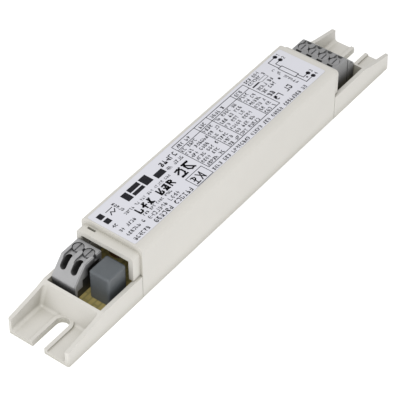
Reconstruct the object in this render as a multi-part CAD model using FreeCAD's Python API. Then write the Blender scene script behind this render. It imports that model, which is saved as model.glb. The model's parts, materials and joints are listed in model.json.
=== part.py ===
import FreeCAD, Part
import math
import os

# Fluorescent lamp ballast: a slim moulded case with open mounting ends, two terminal
# blocks and the circuit that they serve. Millimetres, +Z up, +X along the case toward the
# lamp side, +Y away from the label's lower edge. The origin is the middle of the underside.

# Case
overall_length = 205.0
overall_width = 28.0
cover_top = 25.0
floor_thickness = 1.8
tray_wall = 1.6
tray_wall_height = 11.2
tip_wall_height = 7.2
knee_height = 9.8
knee_to_cross_wall = 5.0
tip_corner_radius = 0.8
flange_cove = 1.4
mains_flange_length = 20.1
mains_bay_length = 18.0
lamp_flange_length = 17.9
lamp_bay_length = 18.7
cross_wall_top = 1.0
cross_wall_run = 3.4

# Fixing slots
slot_width = 5.5
slot_length = 15.8
slot_rim_width = 1.5
slot_rim_height = 0.9

# Cover
cover_skin = 1.2
cover_edge_radius = 2.2
skirt_lift = 0.3
skirt_fit = 0.2
seam_gap = 0.2
inset_wall = 1.4
mains_nose_reach = 4.1
lamp_nose_reach = 3.2
nose_drop = 2.5
nose_inset = 1.0
nose_edge_radius = 1.5
nose_lip = 0.9
nose_to_wall_gap = 0.2
latch_slot_length = 3.6
latch_slot_width = 1.0
latch_slot_from_side = 5.6
snap_rib_length = 6.0
snap_rib_height = 1.2
snap_rib_depth = 0.45
snap_rib_level = 7.5
snap_rib_gap = 0.25
snap_ribs_per_side = 3

# Label
label_thickness = 0.12
label_end_margin = 0.6
label_lamp_end_margin = 2.5
label_near_margin = 3.5
label_far_margin = 2.2
label_corner_radius = 0.8

# Circuit board
sheet_thickness = 0.3
board_thickness = 1.6
board_lift = 1.8
board_side_gap = 0.25
board_end_gap = 0.5
board_rail_width = 1.2
lead_width = 0.7
lead_hole_gap = 0.15
solder_foot = 1.7
solder_height = 0.9
solder_crown = 0.8

# Terminal blocks
terminal_top = 19.0
terminal_nose_gap = 0.3
terminal_wall_gap = 0.3
terminal_bevel = 0.3
terminal_cheek = 0.5
lamp_side_space = 3.2
mains_poles = 2
lamp_poles = 4
mains_flat_length = 9.6
mains_slope_run = 6.0
mains_slope_drop = 6.8
mains_screw_setback = 3.6
lamp_flat_length = 11.3
lamp_slope_run = 6.4
lamp_slope_drop = 6.0
lamp_screw_setback = 7.4
screw_land = 0.45
screw_head_height = 1.7
screw_shank_to_head = 0.58
screw_sink = 0.3
screw_slot_width = 0.6
screw_slot_depth = 0.8
screw_well_gap = 0.25
channel_land = 0.9
channel_depth = 1.0
trench_width = 1.5
trench_depth = 2.2
clamp_length = 4.2
clamp_land = 0.6
clamp_height = 6.0
clamp_wall = 0.7
clamp_drop = 4.8
clamp_gap = 0.2
shank_gap = 0.15
entry_land = 1.1
entry_length = 6.0
entry_depth = 7.5
mains_entry_offset = 2.3
lamp_entry_offset = 3.4
test_slot_setback = 4.0
test_slot_length = 1.1
test_slot_land = 1.2
test_slot_depth = 5.0
side_groove_width = 0.4
side_groove_depth = 0.35
side_groove_setback = 12.6
side_notch_setback = 15.2
side_notch_length = 0.5
side_notch_height = 1.6
side_notch_below_top = 3.6
end_recess_depth = 0.45
end_recess_margin = 1.4
end_recess_below_top = 2.8

# Filler block beside the mains terminal
filler_length = 10.2
filler_side_gap = 2.25
filler_top = 18.5
filler_edge_radius = 0.9

# Components. A row gap is the free strip on each side of a part in its own row, and a
# share is the part's share of the length under the cover.
component_end_gap = 1.0
component_side_gap = 1.4
fuse_row_gap = 0.8
fuse_height = 7.8
varistor_row_gap = 0.6
varistor_thickness = 3.6
varistor_lift = 0.5
film_cap_share = 0.11
film_cap_row_gap = 1.8
film_cap_height = 11.0
choke_row_gap = 0.2
choke_core_to_flange = 0.52
choke_flange = 1.2
choke_height = 10.0
winding_gap = 0.1
diode_radius = 1.3
diode_row_gap = 1.1
diode_pitch = 3.2
diode_count = 4
axial_lift = 0.3
axial_lead_reach = 1.2
resistor_radius = 1.25
resistor_row_gap = 0.8
resistor_pitch = 4.0
resistor_count = 3
can_radius = 6.6
can_share = 0.17
can_end_bevel = 0.8
can_groove_depth = 0.5
can_groove_width = 1.6
can_groove_place = 3.0
can_lift = 0.2
plug_depth = 1.7
plug_recess = 0.3
plug_gap = 0.1
can_lead_reach = 1.6
can_lead_spread = 2.5
ring_row_gap = 0.6
ring_wall = 1.7
ring_height = 4.0
ring_lift = 0.3
turn_thickness = 0.5
turn_gap = 0.1
turn_groups = 3
turns_per_group = 3
turn_side_gap = 0.05
first_turn_degrees = 30.0
sink_length = 11.0
sink_thickness = 1.2
sink_height = 13.5
sink_flange = 3.6
transistor_width = 8.0
transistor_row_gap = 1.0
transistor_height = 10.0
transistor_lift = 2.6
transistor_pins = 3
transistor_pin_pitch = 2.3
transistor_hole_radius = 1.6
transistor_hole_from_top = 3.2
bolt_radius = 1.3
bolt_head_radius = 2.4
bolt_head_height = 1.2
nut_sides = 6
bolt_gap = 0.1
core_share = 0.152
core_side_gap = 0.8
core_depth = 5.2
core_centre_leg_share = 0.295
core_back = 2.4
core_air_gap = 0.3
core_level = 7.0
bobbin_wall = 0.7
bobbin_gap = 0.15
bobbin_flange = 0.8
bobbin_flange_gap = 0.4
bobbin_flange_height = 13.2
bobbin_foot_length = 2.6
winding_below_flange = 0.4
bobbin_pins_per_side = 3
output_parts_gap = 1.9
resonant_cap_width = 6.0
resonant_cap_height = 10.0
thermistor_radius = 2.6
thermistor_thickness = 2.4
thermistor_lift = 0.5
box_edge = 0.4
box_lead_inset = 1.5
round_lead_share = 0.65
disc_foot_share = 0.7

# Cutters reach past the faces that they open, and measured places agree this closely
cut_past = 1.0
same_place = 1e-6
shortest_edge = 0.01

# Places worked out from the sizes above
half_length = overall_length / 2
half_width = overall_width / 2
bay_half_width = half_width - tray_wall
inset_outer = half_width - cover_skin - skirt_fit
inset_inner = inset_outer - inset_wall
mains_cross_wall = -half_length + mains_flange_length
mains_nose_end = mains_cross_wall + mains_bay_length
cover_left = mains_nose_end + mains_nose_reach
lamp_cross_wall = half_length - lamp_flange_length
lamp_nose_end = lamp_cross_wall - lamp_bay_length
cover_right = lamp_nose_end - lamp_nose_reach
nose_half_width = half_width - nose_inset
nose_top = cover_top - nose_drop
nose_bottom = tray_wall_height + nose_to_wall_gap
board_bottom = floor_thickness + board_lift
board_top = board_bottom + board_thickness
board_half_width = inset_inner - board_side_gap
board_left = mains_cross_wall + board_end_gap
board_right = lamp_cross_wall - board_end_gap
terminal_far = bay_half_width - terminal_wall_gap
lamp_terminal_width = 2 * terminal_far - lamp_side_space
pole_pitch = (lamp_terminal_width - 2 * terminal_cheek) / lamp_poles
mains_terminal_width = mains_poles * pole_pitch + 2 * terminal_cheek
mains_terminal_back = mains_nose_end - terminal_nose_gap
lamp_terminal_back = lamp_nose_end + terminal_nose_gap
mains_terminal_near = terminal_far - mains_terminal_width
screw_top = terminal_top - screw_sink
screw_seat = screw_top - screw_head_height
clamp_top = terminal_top - clamp_drop
screw_head_radius = pole_pitch / 2 - screw_land
screw_shank_radius = screw_head_radius * screw_shank_to_head
channel_width = pole_pitch - 2 * channel_land
clamp_width = pole_pitch - 2 * clamp_land
entry_width = pole_pitch - 2 * entry_land
test_slot_width = pole_pitch - 2 * test_slot_land

# Sizes of the components, from the room under the cover
component_left = cover_left + cover_skin + component_end_gap
component_right = cover_right - cover_skin - component_end_gap
component_room = component_right - component_left
component_half = board_half_width - component_side_gap
row_half = component_half / 2
far_row = row_half
near_row = -row_half
fuse_radius = row_half - fuse_row_gap
varistor_radius = row_half - varistor_row_gap
film_cap_length = component_room * film_cap_share
film_cap_width = 2 * (row_half - film_cap_row_gap)
choke_radius = row_half - choke_row_gap
choke_core_radius = choke_radius * choke_core_to_flange
diode_length = 2 * (row_half - diode_row_gap - axial_lead_reach)
resistor_length = 2 * (row_half - resistor_row_gap - axial_lead_reach)
can_length = component_room * can_share
ring_outer_radius = row_half - ring_row_gap
ring_inner_radius = ring_outer_radius - ring_wall
turn_inner_reach = ring_inner_radius - turn_gap - turn_thickness
turn_spacing = math.degrees((turn_thickness + turn_side_gap) / turn_inner_reach)
transistor_thickness = row_half - sink_thickness / 2 - transistor_row_gap
core_half_length = (component_room * core_share - core_air_gap) / 2
core_width = 2 * (component_half - core_side_gap)
core_centre_leg = core_width * core_centre_leg_share
core_leg = core_centre_leg / 2
bobbin_flange_width = core_width - 2 * (core_leg + bobbin_flange_gap)
resonant_cap_length = 2 * (component_half - thermistor_radius) - output_parts_gap


def vector(x, y, z):
    return FreeCAD.Vector(x, y, z)


def block(x0, x1, y0, y1, z0, z1):
    corner = vector(min(x0, x1), min(y0, y1), min(z0, z1))
    return Part.makeBox(abs(x1 - x0), abs(y1 - y0), abs(z1 - z0), corner)


def post(x, y, z0, radius, height):
    return Part.makeCylinder(radius, height, vector(x, y, z0), vector(0, 0, 1))


def face_of(points):
    corners = [vector(*p) for p in points]
    return Part.Face(Part.makePolygon(corners + [corners[0]]))


def side_profile(points, y0, y1):
    # An outline in X and Z, drawn out across the case.
    return face_of([(x, y0, z) for x, z in points]).extrude(vector(0, y1 - y0, 0))


def rounded(shape, radius, chosen):
    edges = [e for e in shape.Edges if chosen(e)]
    return shape.makeFillet(radius, edges) if edges and radius > 0 else shape


def bevelled(shape, size, chosen):
    edges = [e for e in shape.Edges if chosen(e)]
    return shape.makeChamfer(size, edges) if edges and size > 0 else shape


def runs_along(edge, axis):
    start, end = edge.Vertexes[0].Point, edge.Vertexes[-1].Point
    step = end - start
    return step.Length > shortest_edge and abs(abs(getattr(step, axis)) - step.Length) < same_place


def at_height(edge, z):
    return all(abs(v.Point.z - z) < same_place for v in edge.Vertexes)


def above_board(edge):
    return edge.BoundBox.ZMax > board_top + same_place


def upright(edge):
    return runs_along(edge, "z")


def joined(shapes):
    result = shapes[0]
    for shape in shapes[1:]:
        result = result.fuse(shape)
    return result.removeSplitter()


def save(name, solids):
    group = solids if isinstance(solids, list) else [solids]
    shape = group[0] if len(group) == 1 else Part.makeCompound(group)
    shape.exportStep("parts/" + name + ".step")


def slot_cutter(tip, inward, width, length, z0, z1):
    # A U-shaped slot that is open at the tip. inward is +1 or -1 along X.
    end = tip + inward * (length - width / 2)
    straight = block(tip - inward, end, -width / 2, width / 2, z0, z1)
    return straight.fuse(post(end, 0, z0, width / 2, z1 - z0))


def in_the_hollow(edge, past_tip):
    # Edges of the flange space round its floor and along its sloped end wall.
    sloped = not any(runs_along(edge, axis) for axis in "xyz")
    outside = all(abs(v.Point.x - past_tip) < same_place for v in edge.Vertexes)
    return sloped or (at_height(edge, floor_thickness) and not outside)


def tray_end(tip, cross_wall, seam, inward):
    knee = cross_wall - inward * knee_to_cross_wall
    outline = [
        (tip, 0),
        (tip, tip_wall_height),
        (knee, knee_height),
        (cross_wall, tray_wall_height),
        (seam, tray_wall_height),
        (seam, 0),
    ]
    end = side_profile(outline, -half_width, half_width)
    end = rounded(
        end, tip_corner_radius, lambda e: upright(e) and abs(e.Vertexes[0].Point.x - tip) < same_place
    )
    bay = block(
        cross_wall, seam + inward, -bay_half_width, bay_half_width, floor_thickness, cover_top
    )
    ridge = cross_wall - inward * cross_wall_top
    foot = ridge - inward * cross_wall_run
    over_flange = [
        (tip - inward, floor_thickness),
        (tip - inward, cover_top),
        (ridge, cover_top),
        (ridge, tray_wall_height),
        (foot, floor_thickness),
    ]
    flange_space = side_profile(over_flange, -bay_half_width, bay_half_width)
    flange_space = rounded(flange_space, flange_cove, lambda e: in_the_hollow(e, tip - inward))
    end = end.cut(bay).cut(flange_space)
    rim_width = slot_width + 2 * slot_rim_width
    rim_top = floor_thickness + slot_rim_height
    rim = slot_cutter(tip, inward, rim_width, slot_length + slot_rim_width, 0, rim_top)
    rim = rim.common(block(tip, cross_wall, -half_width, half_width, 0, rim_top))
    cut_depth = rim_top + tray_wall_height
    slot = slot_cutter(tip, inward, slot_width, slot_length, -1, cut_depth)
    return end.fuse(rim).cut(slot)


def snap_rib_places():
    span = cover_right - cover_left
    step = span / (snap_ribs_per_side + 1)
    return [cover_left + step * (n + 1) for n in range(snap_ribs_per_side)]


def base_tray():
    mains_seam = cover_left - seam_gap
    lamp_seam = cover_right + seam_gap
    mains_end = tray_end(-half_length, mains_cross_wall, mains_seam, 1)
    lamp_end = tray_end(half_length, lamp_cross_wall, lamp_seam, -1)
    joint_left = mains_seam - inset_wall
    joint_right = lamp_seam + inset_wall
    floor = block(joint_left, joint_right, -inset_outer, inset_outer, 0, floor_thickness)
    pieces = [mains_end, lamp_end, floor]
    for side in (-1, 1):
        wall_in, wall_out = side * inset_inner, side * inset_outer
        pieces.append(block(joint_left, joint_right, wall_in, wall_out, 0, tray_wall_height))
        rail_in = side * (board_half_width - board_rail_width)
        pieces.append(
            block(cover_left, cover_right, rail_in, wall_in, floor_thickness, board_bottom)
        )
        for x in snap_rib_places():
            rib_left, rib_right = x - snap_rib_length / 2, x + snap_rib_length / 2
            rib_out = side * (inset_outer + snap_rib_depth)
            rib_high = snap_rib_level + snap_rib_height
            pieces.append(block(rib_left, rib_right, wall_in, rib_out, snap_rib_level, rib_high))
    return joined(pieces)


def arched_block(x0, x1, half, z0, z1, radius):
    body = block(x0, x1, -half, half, z0, z1)
    return rounded(body, radius, lambda e: runs_along(e, "x") and at_height(e, z1))


def top_cover():
    shell = arched_block(
        cover_left, cover_right, half_width, skirt_lift, cover_top, cover_edge_radius
    )
    nose = arched_block(
        mains_nose_end, lamp_nose_end, nose_half_width, nose_bottom, nose_top, nose_edge_radius
    )
    shell_hollow = arched_block(
        cover_left + cover_skin,
        cover_right - cover_skin,
        half_width - cover_skin,
        skirt_lift - cut_past,
        cover_top - cover_skin,
        cover_edge_radius - cover_skin,
    )
    nose_hollow = arched_block(
        mains_nose_end + cover_skin,
        lamp_nose_end - cover_skin,
        nose_half_width - cover_skin,
        nose_bottom - cut_past,
        nose_top - cover_skin,
        nose_edge_radius - cover_skin,
    )
    passage_half = inset_outer + skirt_fit
    tray_passage = block(
        mains_nose_end - cut_past,
        lamp_nose_end + cut_past,
        -passage_half,
        passage_half,
        -cut_past,
        nose_bottom,
    )
    window_half = nose_half_width - cover_skin - nose_lip
    end_windows = block(
        mains_nose_end - cut_past,
        lamp_nose_end + cut_past,
        -window_half,
        window_half,
        -1,
        nose_top - cover_skin - nose_lip,
    )
    latch_x = cover_left - latch_slot_width
    latch_y = half_width - latch_slot_from_side
    latch = block(
        latch_x - latch_slot_width / 2,
        latch_x + latch_slot_width / 2,
        latch_y - latch_slot_length / 2,
        latch_y + latch_slot_length / 2,
        nose_top - 2 * cover_skin,
        nose_top + cut_past,
    )
    cover = joined([shell, nose])
    for hollow in (shell_hollow, nose_hollow, tray_passage, end_windows, latch):
        cover = cover.cut(hollow)
    groove_out = inset_outer + snap_rib_depth + snap_rib_gap
    for x in snap_rib_places():
        cover = cover.cut(
            block(
                x - snap_rib_length / 2 - snap_rib_gap,
                x + snap_rib_length / 2 + snap_rib_gap,
                -groove_out,
                groove_out,
                snap_rib_level - snap_rib_gap,
                snap_rib_level + snap_rib_height + snap_rib_gap,
            )
        )
    return cover.removeSplitter()


def rating_label():
    sheet = block(
        cover_left + label_end_margin,
        cover_right - label_lamp_end_margin,
        -half_width + label_near_margin,
        half_width - label_far_margin,
        cover_top,
        cover_top + label_thickness,
    )
    return rounded(sheet, label_corner_radius, upright)


def lead(x, y, z_top):
    half = lead_width / 2
    return block(x - half, x + half, y - half, y + half, board_bottom, z_top)


def solder_joint(x, y):
    # A four-sided taper under the board, over the cut end of its lead.
    foot, crown = solder_foot / 2, solder_crown / 2
    taper = Part.makeWedge(
        -crown, -solder_height, -crown, -foot, -foot, crown, 0, crown, foot, foot
    )
    taper.rotate(vector(0, 0, 0), vector(1, 0, 0), 90)
    taper.translate(vector(x, y, board_bottom))
    return taper


def circuit_board(lead_places):
    board = block(
        board_left, board_right, -board_half_width, board_half_width, board_bottom, board_top
    )
    half = lead_width / 2 + lead_hole_gap
    holes = [
        block(x - half, x + half, y - half, y + half, board_bottom - cut_past, board_top + cut_past)
        for x, y in lead_places
    ]
    return board.cut(Part.makeCompound(holes))


def insulating_sheet():
    half = board_half_width - board_rail_width - board_side_gap
    return block(
        board_left, board_right, -half, half, floor_thickness, floor_thickness + sheet_thickness
    )


def pole_places(poles):
    first = terminal_far - terminal_cheek - pole_pitch / 2
    return [first - pole_pitch * n for n in range(poles)]


def oval_cutter(centre, along, inward, y):
    # A wire entry: an oval across the sloped face, drawn inward at right angles to it.
    straight = entry_length - entry_width
    middle = vector(centre.x, y, centre.z) - inward * entry_depth
    ends = [middle + along * (straight / 2), middle - along * (straight / 2)]
    solids = [Part.makeCylinder(entry_width / 2, 2 * entry_depth, e, inward) for e in ends]
    across = vector(0, entry_width / 2, 0)
    corners = [ends[0] - across, ends[0] + across, ends[1] + across, ends[1] - across]
    bar = Part.Face(Part.makePolygon(corners + [corners[0]])).extrude(inward * 2 * entry_depth)
    return joined(solids + [bar])


def screw_seat_cuts(x, y):
    # The round well of a screw head and the square shaft for its shank.
    well_depth = terminal_top - screw_seat
    well = post(x, y, screw_seat, screw_head_radius + screw_well_gap, well_depth + cut_past)
    half = screw_shank_radius + shank_gap
    shaft = block(x - half, x + half, y - half, y + half, board_top, screw_top)
    return [well, shaft]


def channel_cut(x, front, y):
    # A shallow way from the screw to the sloped face, over its wire entry.
    half = channel_width / 2
    return block(x, front, y - half, y + half, terminal_top - channel_depth, terminal_top + cut_past)


def clamp_cavity(x, y):
    half_x = clamp_length / 2 + clamp_gap
    half_y = clamp_width / 2 + clamp_gap
    return block(
        x - half_x, x + half_x, y - half_y, y + half_y, board_top - cut_past, clamp_top + clamp_gap
    )


def terminal_body(back, toward, poles, flat, run, drop, setback, entry_offset):
    # toward is the direction along X from which the wires come in: +1 or -1.
    near = terminal_far - poles * pole_pitch - 2 * terminal_cheek
    front = back + toward * (flat + run)
    brow = back + toward * flat
    outline = [
        (back, board_top),
        (back, terminal_top),
        (brow, terminal_top),
        (front, terminal_top - drop),
        (front, board_top),
    ]
    body = side_profile(outline, near, terminal_far)
    body = bevelled(body, terminal_bevel, above_board)
    along = vector(toward * run, 0, -drop).normalize()
    inward = vector(-toward * drop, 0, -run).normalize()
    entry = vector(brow, 0, terminal_top) + along * entry_offset
    x = back + toward * setback
    cuts = []
    for y in pole_places(poles):
        cuts += screw_seat_cuts(x, y)
        cuts.append(channel_cut(x, brow + toward * channel_depth, y))
        cuts.append(clamp_cavity(x, y))
        cuts.append(oval_cutter(entry, along, inward, y))
    for cut in cuts:
        body = body.cut(cut)
    return body


def screw_trench(x, y_first, y_last):
    # The gap between the lands of neighbouring screw wells.
    half = trench_width / 2
    low = terminal_top - trench_depth
    return block(x - half, x + half, y_first, y_last, low, terminal_top + cut_past)


def mains_terminal_body():
    body = terminal_body(
        mains_terminal_back,
        -1,
        mains_poles,
        mains_flat_length,
        mains_slope_run,
        mains_slope_drop,
        mains_screw_setback,
        mains_entry_offset,
    )
    x = mains_terminal_back - mains_screw_setback
    body = body.cut(screw_trench(x, mains_terminal_near - cut_past, pole_places(mains_poles)[0]))
    return body.cut(end_recess())


def end_recess():
    # The side beside the filler is set back, in steps that follow the sloped front.
    shoulder = mains_terminal_back - mains_flat_length + end_recess_margin
    ledge = shoulder - mains_slope_run / 2
    front = shoulder - mains_slope_run
    rear = mains_terminal_back - end_recess_margin
    high = terminal_top - end_recess_below_top
    middle = high - mains_slope_drop / 2
    low = high - mains_slope_drop
    outline = [
        (rear, board_top - cut_past),
        (rear, high),
        (shoulder, high),
        (shoulder, middle),
        (ledge, middle),
        (ledge, low),
        (front, low),
        (front, board_top - cut_past),
    ]
    return side_profile(outline, mains_terminal_near - cut_past, mains_terminal_near + end_recess_depth)


def lamp_terminal_body():
    body = terminal_body(
        lamp_terminal_back,
        1,
        lamp_poles,
        lamp_flat_length,
        lamp_slope_run,
        lamp_slope_drop,
        lamp_screw_setback,
        lamp_entry_offset,
    )
    poles = pole_places(lamp_poles)
    body = body.cut(screw_trench(lamp_terminal_back + lamp_screw_setback, poles[-1], poles[0]))
    slot_left = lamp_terminal_back + test_slot_setback - test_slot_length / 2
    slot_half = test_slot_width / 2
    slot_bottom = terminal_top - test_slot_depth
    for y in poles:
        slot_right = slot_left + test_slot_length
        body = body.cut(
            block(slot_left, slot_right, y - slot_half, y + slot_half, slot_bottom, cover_top)
        )
    near = terminal_far - lamp_terminal_width
    return body.cut(side_groove(near)).cut(side_notch(near))


def side_groove(near):
    left = lamp_terminal_back + side_groove_setback
    right = left + side_groove_width
    return block(left, right, near - cut_past, near + side_groove_depth, board_top - cut_past, cover_top)


def side_notch(near):
    left = lamp_terminal_back + side_notch_setback
    right = left + side_notch_length
    high = terminal_top - side_notch_below_top
    low = high - side_notch_height
    return block(left, right, near - cut_past, near + side_groove_depth, low, high)


def terminal_screw(x, y):
    shank_end = clamp_top - 2 * clamp_wall
    head = post(x, y, screw_seat, screw_head_radius, screw_head_height)
    shank = post(x, y, shank_end, screw_shank_radius, screw_seat - shank_end)
    slot = block(
        x - screw_head_radius,
        x + screw_head_radius,
        y - screw_slot_width / 2,
        y + screw_slot_width / 2,
        screw_top - screw_slot_depth,
        screw_top + cut_past,
    )
    return head.fuse(shank).cut(slot)


def terminal_clamp(x, y):
    half_x, half_y = clamp_length / 2, clamp_width / 2
    bottom = clamp_top - clamp_height
    cage = block(x - half_x, x + half_x, y - half_y, y + half_y, bottom, clamp_top)
    window = block(
        x - clamp_length,
        x + clamp_length,
        y - half_y + clamp_wall,
        y + half_y - clamp_wall,
        bottom + clamp_wall,
        clamp_top - clamp_wall,
    )
    screw_hole = post(x, y, clamp_top - 2 * clamp_wall, screw_shank_radius + shank_gap, clamp_wall * 3)
    return joined([cage.cut(window).cut(screw_hole), lead(x, y, bottom)])


def filler_block():
    body = block(
        mains_terminal_back - filler_length,
        mains_terminal_back,
        -bay_half_width + filler_side_gap,
        mains_terminal_near - filler_side_gap,
        board_top,
        filler_top,
    )
    return rounded(body, filler_edge_radius, above_board)


# Component stations, spread evenly along the space under the cover
group_lengths = {
    "input": 2 * fuse_radius,
    "filter": max(film_cap_length, 2 * choke_radius),
    "rectifier": max(diode_count * diode_pitch, resistor_count * resistor_pitch),
    "storage": can_length + can_lead_reach,
    "switching": max(sink_length, 2 * (ring_outer_radius + turn_thickness + turn_gap)),
    "inductor": 2 * core_half_length + core_air_gap,
    "output": resonant_cap_width,
}


def group_centres():
    spare = component_room - sum(group_lengths.values())
    gap = spare / (len(group_lengths) + 1)
    centres = {}
    x = component_left
    for name, length in group_lengths.items():
        x += gap
        centres[name] = x + length / 2
        x += length
    return centres


centre = group_centres()


def soft_box(x, y, length, width, height):
    body = block(
        x - length / 2, x + length / 2, y - width / 2, y + width / 2, board_top, board_top + height
    )
    return bevelled(body, box_edge, above_board)


def disc_part(x, y, radius, thickness, lift):
    # A dipped disc that stands on edge across the case, with a flat foot for its leads.
    middle = board_top + lift + radius
    start = vector(x - thickness / 2, y, middle)
    disc = Part.makeCylinder(radius, thickness, start, vector(1, 0, 0))
    half_x = (lead_width + lead_hole_gap) / 2
    half_y = radius * disc_foot_share
    foot = block(x - half_x, x + half_x, y - half_y, y + half_y, board_top + lift, middle)
    return joined([disc, foot])


def fuse():
    body = post(centre["input"], far_row, board_top, fuse_radius, fuse_height)
    return bevelled(body, box_edge, lambda e: at_height(e, board_top + fuse_height))


def choke_core():
    x, y = centre["filter"], near_row
    lower = post(x, y, board_top, choke_radius, choke_flange)
    upper = post(x, y, board_top + choke_height - choke_flange, choke_radius, choke_flange)
    return joined([lower, upper, post(x, y, board_top, choke_core_radius, choke_height)])


def choke_winding():
    x, y = centre["filter"], near_row
    low = board_top + choke_flange + winding_gap
    tall = choke_height - 2 * (choke_flange + winding_gap)
    outer = post(x, y, low, choke_radius - 2 * winding_gap, tall)
    return outer.cut(post(x, y, low - cut_past, choke_core_radius + winding_gap, tall + 2 * cut_past))


def row_places(middle, count, pitch):
    return [middle + (n - (count - 1) / 2) * pitch for n in range(count)]


def axial_leads(x, y, length, level):
    # Two bent leads, from the ends of a body that lies across the case.
    half = lead_width / 2
    bent = []
    for side in (-1, 1):
        end = y + side * length / 2
        turn = end + side * axial_lead_reach
        arm = block(x - half, x + half, end, turn + side * half, level - half, level + half)
        bent.append(joined([arm, lead(x, turn, level)]))
    return bent


def axial_lead_places(x, y, length):
    reach = length / 2 + axial_lead_reach
    return [(x, y - reach), (x, y + reach)]


def diodes():
    level = board_top + axial_lift + diode_radius
    return [
        Part.makeCylinder(
            diode_radius, diode_length, vector(x, far_row - diode_length / 2, level), vector(0, 1, 0)
        )
        for x in row_places(centre["rectifier"], diode_count, diode_pitch)
    ]


def resistor(x):
    level = board_top + axial_lift + resistor_radius
    start = vector(x, near_row - resistor_length / 2, level)
    return Part.makeCylinder(resistor_radius, resistor_length, start, vector(0, 1, 0))


def can_left():
    return centre["storage"] - group_lengths["storage"] / 2 + can_lead_reach


def can_axis_level():
    return board_top + can_lift + can_radius


def capacitor_can():
    # Half of the can's section, turned about its axis: the rolled groove near its mouth,
    # the seat of the plug inside it and a bevelled closed end.
    seat = can_radius - can_groove_depth
    seat_depth = plug_depth + plug_recess
    section = [
        (seat_depth, 0),
        (seat_depth, seat),
        (0, seat),
        (0, can_radius),
        (can_groove_place - can_groove_width / 2, can_radius),
        (can_groove_place, seat),
        (can_groove_place + can_groove_width / 2, can_radius),
        (can_length - can_end_bevel, can_radius),
        (can_length, can_radius - can_end_bevel),
        (can_length, 0),
    ]
    level = can_axis_level()
    profile = face_of([(can_left() + u, 0, level + r) for u, r in section])
    return profile.revolve(vector(can_left(), 0, level), vector(1, 0, 0), 360)


def capacitor_plug():
    start = vector(can_left() + plug_recess, 0, can_axis_level())
    radius = can_radius - can_groove_depth - plug_gap
    return Part.makeCylinder(radius, plug_depth - plug_gap, start, vector(1, 0, 0))


def can_lead_places():
    x = can_left() - can_lead_reach + lead_width
    return [(x, -can_lead_spread), (x, can_lead_spread)]


def can_leads():
    half = lead_width / 2
    level = can_axis_level()
    bent = []
    for x, y in can_lead_places():
        arm = block(x - half, can_left() + plug_recess, y - half, y + half, level - half, level + half)
        bent.append(joined([arm, lead(x, y, level)]))
    return bent


def ring_base():
    return board_top + ring_lift + turn_thickness + turn_gap


def ring_core():
    x, y = centre["switching"], near_row
    ring = post(x, y, ring_base(), ring_outer_radius, ring_height)
    return ring.cut(post(x, y, ring_base() - cut_past, ring_inner_radius, ring_height + 2 * cut_past))


def turn_angles(group):
    middle = 360 / turn_groups * group + first_turn_degrees
    return row_places(middle, turns_per_group, turn_spacing)


def ring_turn(angle):
    low, high = ring_base() - turn_gap, ring_base() + ring_height + turn_gap
    inner, outer = ring_inner_radius - turn_gap, ring_outer_radius + turn_gap
    t = turn_thickness
    frame = block(inner - t, outer + t, -t / 2, t / 2, low - t, high + t)
    frame = frame.cut(block(inner, outer, -t, t, low, high))
    frame.rotate(vector(0, 0, 0), vector(0, 0, 1), angle)
    frame.translate(vector(centre["switching"], near_row, 0))
    return frame


def ring_lead_places():
    reach = ring_outer_radius - lead_width / 2
    places = []
    for group in range(turn_groups):
        for angle in (turn_angles(group)[0], turn_angles(group)[-1]):
            a = math.radians(angle)
            x = centre["switching"] + reach * math.cos(a)
            places.append((x, near_row + reach * math.sin(a)))
    return places


def heat_sink():
    x, y = centre["switching"], far_row
    half = sink_thickness / 2
    left, right = x - sink_length / 2, x + sink_length / 2
    top = board_top + sink_height
    plate = block(left, right, y - half, y + half, board_top, top)
    flange = block(left, right, y - half, y + sink_flange, top, top + sink_thickness)
    return joined([plate, flange]).cut(bolt_hole(bolt_radius + bolt_gap))


def bolt_level():
    return board_top + transistor_lift + transistor_height - transistor_hole_from_top


def bolt_hole(radius):
    reach = sink_thickness + 2 * transistor_thickness
    start = vector(centre["switching"], far_row - reach, bolt_level())
    return Part.makeCylinder(radius, 2 * reach, start, vector(0, 1, 0))


def transistor(side):
    x = centre["switching"]
    near = far_row + side * sink_thickness / 2
    low = board_top + transistor_lift
    body = block(
        x - transistor_width / 2,
        x + transistor_width / 2,
        near,
        near + side * transistor_thickness,
        low,
        low + transistor_height,
    )
    return bevelled(body, box_edge, upright).cut(bolt_hole(transistor_hole_radius))


def transistor_lead_places():
    reach = (sink_thickness + transistor_thickness) / 2
    pins = row_places(centre["switching"], transistor_pins, transistor_pin_pitch)
    return [(x, far_row + side * reach) for side in (-1, 1) for x in pins]


def transistor_bolt():
    reach = sink_thickness / 2 + transistor_thickness
    start = vector(centre["switching"], far_row - reach, bolt_level())
    axis = vector(0, 1, 0)
    shank = Part.makeCylinder(bolt_radius, 2 * reach, start, axis)
    head = Part.makeCylinder(bolt_head_radius, bolt_head_height, start - axis * bolt_head_height, axis)
    corners = [math.radians(360 / nut_sides * n) for n in range(nut_sides)]
    hexagon = [
        vector(
            start.x + bolt_head_radius * math.cos(a),
            far_row + reach,
            start.z + bolt_head_radius * math.sin(a),
        )
        for a in corners
    ]
    nut = Part.Face(Part.makePolygon(hexagon + [hexagon[0]])).extrude(axis * bolt_head_height)
    return joined([shank, head, nut])


def core_half(side):
    x = centre["inductor"]
    middle = board_top + core_level
    low, high = middle - core_depth / 2, middle + core_depth / 2
    face = x + side * core_air_gap / 2
    back = face + side * core_half_length
    half = core_width / 2
    body = block(face, back, -half, half, low, high)
    window_end = back - side * core_back
    for edge in (-1, 1):
        window = block(
            face - side,
            window_end,
            edge * core_centre_leg / 2,
            edge * (half - core_leg),
            low - cut_past,
            high + cut_past,
        )
        body = body.cut(window)
    return body


def bobbin_reach():
    return core_half_length - core_back + core_air_gap / 2 - bobbin_gap


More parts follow.
